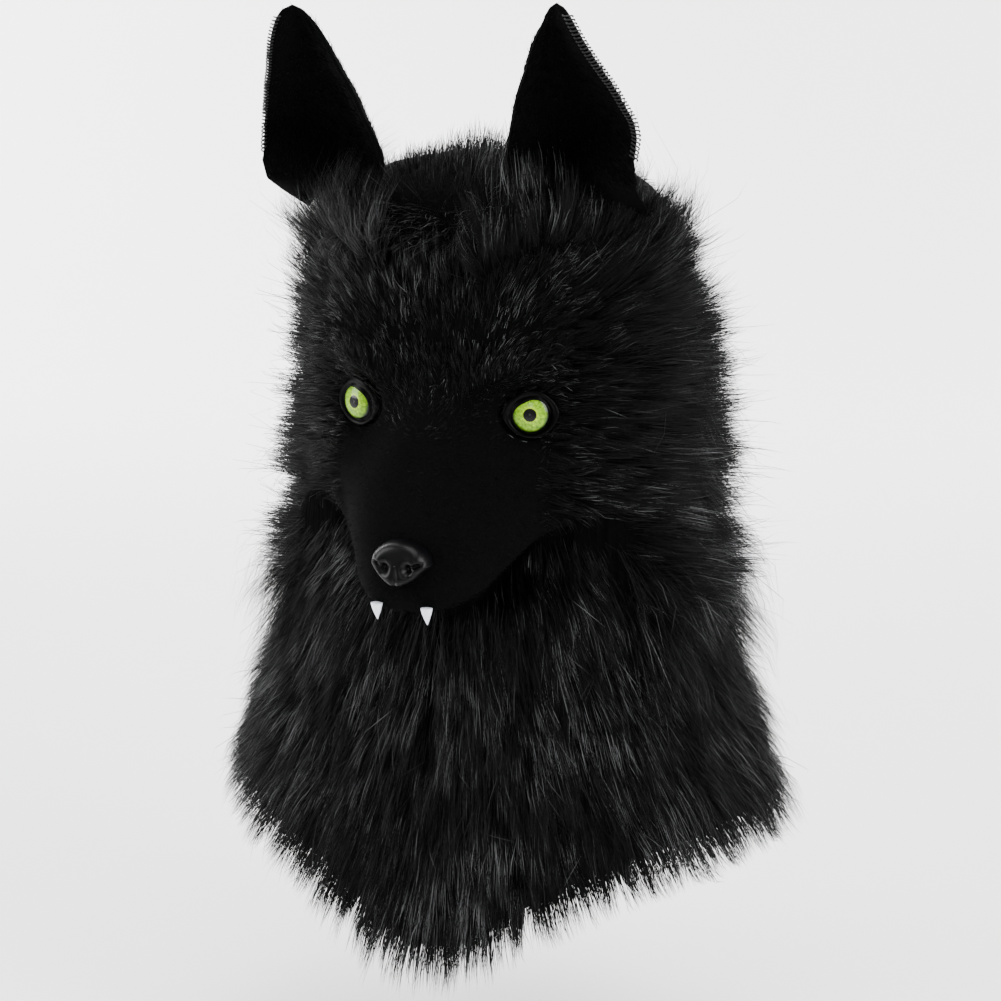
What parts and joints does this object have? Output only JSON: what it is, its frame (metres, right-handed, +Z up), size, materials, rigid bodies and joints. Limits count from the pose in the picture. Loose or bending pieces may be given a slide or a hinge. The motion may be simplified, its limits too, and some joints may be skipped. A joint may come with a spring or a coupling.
{
  "type": "plush animal mask",
  "caption": "Full-head plush mask of a black wolf-like animal, with cupped ears, domed eyes, a moulded nose, fangs, long cheek fur and a fur mantle.",
  "frame": {"origin": "the point inside the crown that rests on the top of the wearer's head", "axes": "+Z up, towards the ears' tips; -Y the way the face looks; +X towards the mask's own left"},
  "size_m": [0.408, 0.3262, 0.6327],
  "materials": {
    "short_plush": "black short-pile plush, matt with a soft sheen",
    "backing_cloth": "black knitted fur backing, matt",
    "long_fur": "black long-pile faux fur with grey highlights",
    "resin_eye": "lime green resin with a black pupil, polished",
    "eye_rim": "black, glossy",
    "nose_vinyl": "black moulded vinyl, satin",
    "fang_resin": "white cast resin, semi-gloss"
  },
  "bodies": {
    "root": {"face": "short_plush", "ear_left": "short_plush", "ear_right": "short_plush", "hood": "backing_cloth", "mantle": "backing_cloth", "crown_fur": "long_fur", "forehead_fur": "long_fur", "cheek_fur_left": "long_fur", "cheek_fur_right": "long_fur", "mane_fur": "long_fur", "chest_fur_left": "long_fur", "chest_fur_right": "long_fur", "shoulder_fur": "long_fur", "eye_left": "resin_eye", "eye_right": "resin_eye", "eyelid_left": "eye_rim", "eyelid_right": "eye_rim", "nose": "nose_vinyl", "fang_left": "fang_resin", "fang_right": "fang_resin"}
  },
  "joints": []
}
